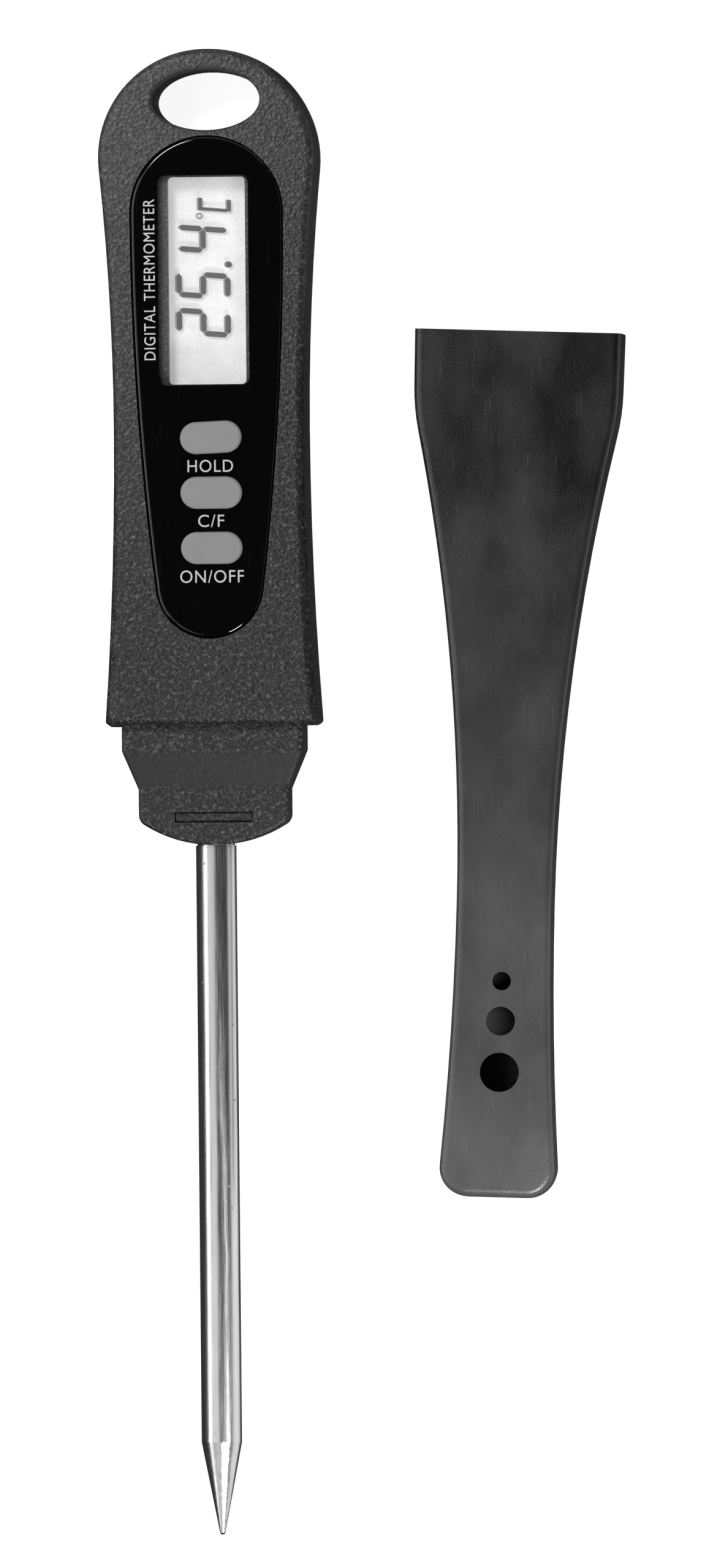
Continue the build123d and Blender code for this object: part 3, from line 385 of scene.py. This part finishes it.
# Nodes, then the name, albedo, roughness, metallic and grain size of their finish.
INNER_PARTS = (
    (["display_gasket"], "black_foam", 0.02, 0.9, 0.0, 0.3),
    (["zebra_strips"], "striped_rubber", 0.12, 0.7, 0.0, 0.4),
    (["circuit_board"], "board_laminate", 0.1, 0.45, 0.0, 1.2),
    (["board_screws"], "screw_steel", 0.5, 0.35, 1.0, 0.4),
    (["controller_chip", "board_components"], "black_epoxy", 0.02, 0.4, 0.0, 0.4),
    (["battery_cell"], "cell_steel", 0.6, 0.25, 1.0, 0.8),
    (["battery_contact_positive", "battery_contact_negative"], "plated_contact", 0.6, 0.3, 1.0, 0.4),
    (["battery_door_seal"], "seal_rubber", 0.015, 0.6, 0.0, 0.4),
    (["probe_collar"], "turned_brass", 0.5, 0.3, 1.0, 0.4),
    (["probe_plug", "tip_filling"], "potting_compound", 0.3, 0.6, 0.0, 0.8),
    (["thermistor_bead"], "bead_glass", 0.05, 0.15, 0.0, 0.4),
    (["thermistor_leads"], "lead_insulation", 0.4, 0.5, 0.0, 0.4),
    (["contact_pill_hold", "contact_pill_unit", "contact_pill_power"], "carbon_pill", 0.02, 0.7, 0.0, 0.4),
)
for names, *finish in INNER_PARTS:
    paint(names, inner_finish(*finish))


# ---------------------------------------------------------------- printed and shown characters


def solid_from(name, outlines, low, high):
    """Flat outlines, each a list of (x, y) in millimetres, raised from low to high."""
    shape = bmesh.new()
    for outline in outlines:
        rings = [[shape.verts.new((x * MM, y * MM, z * MM)) for x, y in outline] for z in (low, high)]
        shape.faces.new(reversed(rings[0]))
        shape.faces.new(rings[1])
        for i in range(len(outline)):
            j = (i + 1) % len(outline)
            shape.faces.new((rings[0][i], rings[0][j], rings[1][j], rings[1][i]))
    bmesh.ops.recalc_face_normals(shape, faces=shape.faces)
    mesh = bpy.data.meshes.new(name)
    shape.to_mesh(mesh)
    shape.free()
    piece = bpy.data.objects.new(name, mesh)
    bpy.context.scene.collection.objects.link(piece)
    return piece


LETTER_SPACING = 1.1
CURVE_RESOLUTION = 6
HALF_DEPTH = 0.5


def lettering(name, words, centre, width, height, turn, low, high, flip=False):
    """Words as a thin solid of the width and capital height given in millimetres, about centre.

    They are turned by degrees in their own plane. With flip they face down, to be read from behind.
    """
    text = bpy.data.curves.new(name, "FONT")
    text.body = words
    text.extrude = HALF_DEPTH
    text.space_character = LETTER_SPACING
    text.resolution_u = CURVE_RESOLUTION
    source = bpy.data.objects.new(name, text)
    bpy.context.scene.collection.objects.link(source)
    bpy.context.view_layer.update()
    mesh = bpy.data.meshes.new_from_object(source.evaluated_get(bpy.context.evaluated_depsgraph_get()))
    bpy.data.objects.remove(source)
    xs, ys = ([v.co[i] for v in mesh.vertices] for i in (0, 1))
    middle = Vector(((min(xs) + max(xs)) / 2, (min(ys) + max(ys)) / 2, -HALF_DEPTH))
    fit = Matrix.Diagonal(
        (width * MM / (max(xs) - min(xs)), height * MM / (max(ys) - min(ys)), (high - low) * MM, 1)
    )
    place = Matrix.Translation(Vector((*centre, high if flip else low)) * MM)
    if flip:
        place = place @ Matrix.Rotation(math.pi, 4, "Y")
    place = place @ Matrix.Rotation(math.radians(turn), 4, "Z")
    mesh.transform(place @ fit @ Matrix.Translation(-middle))
    mesh.name = name
    piece = bpy.data.objects.new(name, mesh)
    bpy.context.scene.collection.objects.link(piece)
    return piece


# Name, words, centre, width, capital height and turn of each print.
PANEL_LABELS = (
    ("label_hold", "HOLD", (0.25, -10.75), 6.15, 1.66, 0),
    ("label_unit", "C/F", (0.3, -18.15), 3.53, 1.66, 0),
    ("label_power", "ON/OFF", (0.35, -25.65), 8.6, 1.7, 0),
    ("label_title", "DIGITAL THERMOMETER", (-7.75, 14.45), 21.7, 1.53, 90),
)
BACK_MARKS = (
    ("mark_open", "OPEN", (DOOR_X, DOOR_Y + 11.5), 7.0, 1.6, 0),
    ("mark_close", "CLOSE", (DOOR_X, DOOR_Y - 11.5), 8.2, 1.6, 0),
    ("mark_cell", "BATTERY 1.5V", (DOOR_X, DOOR_Y - 16.0), 15.0, 1.5, 0),
)
INK_THICKNESS = 0.03
INK_BITE = 0.01
labels = [
    lettering(*label, low=PANEL_FRONT - INK_BITE, high=PANEL_FRONT + INK_THICKNESS)
    for label in PANEL_LABELS
]
labels += [lettering(*mark, low=-INK_THICKNESS, high=INK_BITE, flip=True) for mark in BACK_MARKS]
for label in labels:
    label.data.materials.clear()
    label.data.materials.append(ink)
    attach(label, ROOT)


# The reading runs up the handle: a figure's right is +Y and its top is -X.
SEGMENT = 0.72
SEGMENT_GAP = 0.09
SLANT = math.tan(math.radians(4.7))
TOP_LINE = 4.0
MIDDLE_LINE = 0.7
BOTTOM_LINE = -2.6
FIGURE_WIDTH = 2.88
CURVE_STEPS = 24

# The segments that are lit in each figure, and the place of the figure's left line.
READING = (("abged", 7.18), ("afgcd", 12.22), ("fgbc", 18.4))
POINT_CENTRE = (16.72, -2.75)
POINT_RADIUS = 0.42
DEGREE_CENTRE = (23.0, 1.08)
DEGREE_RADIUS = 0.4
DEGREE_LINE = 0.11

# The unit's letter is a stem between two bars, of which the lower one starts a little inwards.
UNIT_LEFT = 23.78
UNIT_RIGHT = 25.45
UNIT_LOW = -2.6
UNIT_HIGH = 0.78
UNIT_STEM = 0.42
UNIT_BAR = 0.5
UNIT_INSET = 0.1


def bar(start, end, thickness=SEGMENT):
    """Outline of one segment: a bar with pointed ends between two places."""
    a, b = Vector(start), Vector(end)
    sheath_painted_sheen = (b - a).normalized()
    across = Vector((-sheath_painted_sheen.y, sheath_painted_sheen.x)) * thickness / 2
    tip = sheath_painted_sheen * thickness / 2
    a, b = a + sheath_painted_sheen * SEGMENT_GAP, b - sheath_painted_sheen * SEGMENT_GAP
    return [a, a + tip + across, b - tip + across, b, b - tip - across, a + tip - across]


def figure(segments, left):
    """Outlines of a seven-segment figure whose left line stands at left."""
    right = left + FIGURE_WIDTH
    ends = {
        "a": ((left, TOP_LINE), (right, TOP_LINE)),
        "b": ((right, TOP_LINE), (right, MIDDLE_LINE)),
        "c": ((right, MIDDLE_LINE), (right, BOTTOM_LINE)),
        "d": ((left, BOTTOM_LINE), (right, BOTTOM_LINE)),
        "e": ((left, MIDDLE_LINE), (left, BOTTOM_LINE)),
        "f": ((left, TOP_LINE), (left, MIDDLE_LINE)),
        "g": ((left, MIDDLE_LINE), (right, MIDDLE_LINE)),
    }
    return [bar(*ends[segment]) for segment in segments]


def block(left, right, bottom, top):
    """Outline of an upright block."""
    return [Vector(corner) for corner in ((left, bottom), (right, bottom), (right, top), (left, top))]


def around(centre, radius, step):
    """Place on a circle after a number of its steps."""
    turn = 2 * math.pi * step / CURVE_STEPS
    return Vector(centre) + radius * Vector((math.cos(turn), math.sin(turn)))


def disc(centre, radius):
    """Outline of a full circle."""
    return [around(centre, radius, i) for i in range(CURVE_STEPS)]


def ring(centre, radius, thickness):
    """Outlines of a ring, as a run of short blocks."""
    corners = ((radius - thickness, 0), (radius, 0), (radius, 1), (radius - thickness, 1))
    return [[around(centre, reach, i + step) for reach, step in corners] for i in range(CURVE_STEPS)]


def in_frame(outline, shift=0.0):
    """Right-up places of the reading as frame X and Y, slanted and shifted up."""
    return [(-p.y - shift, p.x + SLANT * p.y) for p in outline]


reading = [outline for segments, left in READING for outline in figure(segments, left)]
reading.append(disc(POINT_CENTRE, POINT_RADIUS))
reading += ring(DEGREE_CENTRE, DEGREE_RADIUS, DEGREE_LINE)
reading += [
    block(UNIT_LEFT, UNIT_LEFT + UNIT_STEM, UNIT_LOW, UNIT_HIGH),
    block(UNIT_LEFT, UNIT_RIGHT, UNIT_HIGH, UNIT_HIGH + UNIT_BAR),
    block(UNIT_LEFT + UNIT_INSET, UNIT_RIGHT, UNIT_LOW - UNIT_BAR, UNIT_LOW),
]

# Each film's name, rise above the reflector, shift and finish. The shadow film is a painted shadow: a
# translucent grey sheet where the segments' shadow falls on the reflector.
FILM_THICKNESS = 0.02
FILMS = (
    ("reading_segments", 0.55, 0.0, crystal("dark_segment", 0.97, 0.1, 0.03, 0.06)),
    ("reading_shadows", 0.03, 0.27, crystal("segment_shadow", 0.28, 0.14, 0.1, 0.2)),
)
for name, rise, shift, finish in FILMS:
    low = REFLECTOR_FRONT + rise
    film = solid_from(name, [in_frame(outline, shift) for outline in reading], low, low + FILM_THICKNESS)
    film.data.materials.append(finish)
    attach(film, ROOT)


# ---------------------------------------------------------------- table, lights and camera

FLOOR_DROP = 0.05
FLOOR_HALF = 3000.0
FLOOR_GLOW = 0.92


def floor_sheet():
    """Pale back-lit table. It is kept out of the object's own light, so dark sides stay dark."""
    shape = bmesh.new()
    corners = [(-1, -1), (1, -1), (1, 1), (-1, 1)]
    reach = FLOOR_HALF * MM
    low = cad_box[0][2] - FLOOR_DROP * MM
    shape.faces.new([shape.verts.new((x * reach, y * reach, low)) for x, y in corners])
    mesh = bpy.data.meshes.new("floor")
    shape.to_mesh(mesh)
    shape.free()
    floor = bpy.data.objects.new("floor", mesh)
    bpy.context.scene.collection.objects.link(floor)
    f = Finish("pale_table", Roughness=0.7, Specular_IOR_Level=0.2)
    f.set("Emission Color", 1.0)
    f.set("Emission Strength", FLOOR_GLOW)
    f.set("Base Color", f.grey(f.noise(40.0), low=0.34, high=0.36))
    floor.data.materials.append(f.material)
    floor.visible_diffuse = False
    floor.visible_glossy = False
    floor.visible_shadow = False


def softbox(name, place, aim, size, radiance):
    """Rectangular softbox of the radiance given, at place and aimed at a point, in metres."""
    light = bpy.data.lights.new(name, "AREA")
    light.shape = "RECTANGLE"
    light.size, light.size_y = size
    light.energy = radiance * size[0] * size[1] * math.pi
    lamp = bpy.data.objects.new(name, light)
    lamp.location = place
    lamp.rotation_euler = (Vector(aim) - Vector(place)).to_track_quat("-Z", "Y").to_euler()
    bpy.context.scene.collection.objects.link(lamp)
    return lamp


# Name, place, aim, size and radiance. The two small ones light the handle's upper left and the
# sheath's closed end.
SOFTBOXES = (
    ("softbox_left", (-0.7, -0.05, 0.38), (0.0, -0.05, 0), (0.9, 0.3), 3.4),
    ("softbox_ceiling", (-0.28, -0.05, 0.56), (0.0, -0.05, 0), (0.8, 0.4), 1.15),
    ("softbox_handle", (-0.07, 0.12, 0.2), (-0.02, 0.04, 0), (0.06, 0.06), 34.0),
    ("softbox_foot", (0.09, -0.21, 0.17), (0.04, -0.1, 0), (0.06, 0.06), 50.0),
    ("softbox_right", (0.7, -0.05, -0.15), (0.0, -0.05, 0), (0.9, 0.8), 0.8),
    ("softbox_head", (0.15, 0.75, 0.2), (0.0, 0.0, 0), (0.9, 0.4), 1.0),
)
# A faint strip between the probe and the sheath, out of the camera's sight.
PROBE_FILL = ("probe_fill", (0.027, -0.112, 0.004), (0.0, -0.112, 0.004), (0.1, 0.028), 0.55)
WORLD_RADIANCE = 0.05

floor_sheet()
for lamp_row in SOFTBOXES:
    softbox(*lamp_row)
softbox(*PROBE_FILL).visible_camera = False

world = bpy.data.worlds.new("studio")
world.use_nodes = True
world.node_tree.nodes["Background"].inputs["Color"].default_value = (1, 1, 1, 1)
world.node_tree.nodes["Background"].inputs["Strength"].default_value = WORLD_RADIANCE
bpy.context.scene.world = world
bpy.context.scene.view_settings.view_transform = "Standard"

# The camera stands far above the table, a little to the right of the handle.
VIEW_CENTRE = Vector((19.3, -53.8, 14.0)) * MM
VIEW_WIDTH = 95.46 * MM
PICTURE_WIDTH, PICTURE_HEIGHT = 1157, 2560
VIEW_HEIGHT = VIEW_WIDTH * PICTURE_HEIGHT / PICTURE_WIDTH
CAMERA_DISTANCE = 2.2
FROM_RIGHT = math.radians(3.8)
ROLL = math.radians(0.55)
SENSOR = 36.0
CLIP_START, CLIP_END = 0.05, 20.0


def aim_camera():
    """Camera over the view's centre, turned so that the handle leans slightly to the left."""
    camera = bpy.data.objects.new("camera", bpy.data.cameras.new("camera"))
    camera.data.sensor_width = SENSOR
    camera.data.lens = SENSOR * CAMERA_DISTANCE / VIEW_HEIGHT
    camera.data.clip_start = CLIP_START
    camera.data.clip_end = CLIP_END
    back = Vector((math.sin(FROM_RIGHT), 0, math.cos(FROM_RIGHT)))
    up_hint = Vector((math.sin(ROLL), math.cos(ROLL), 0))
    right = up_hint.cross(back).normalized()
    up = back.cross(right)
    turn = Matrix((right, up, back)).transposed().to_4x4()
    camera.matrix_world = Matrix.Translation(VIEW_CENTRE + back * CAMERA_DISTANCE) @ turn
    bpy.context.scene.collection.objects.link(camera)
    bpy.context.scene.camera = camera


aim_camera()
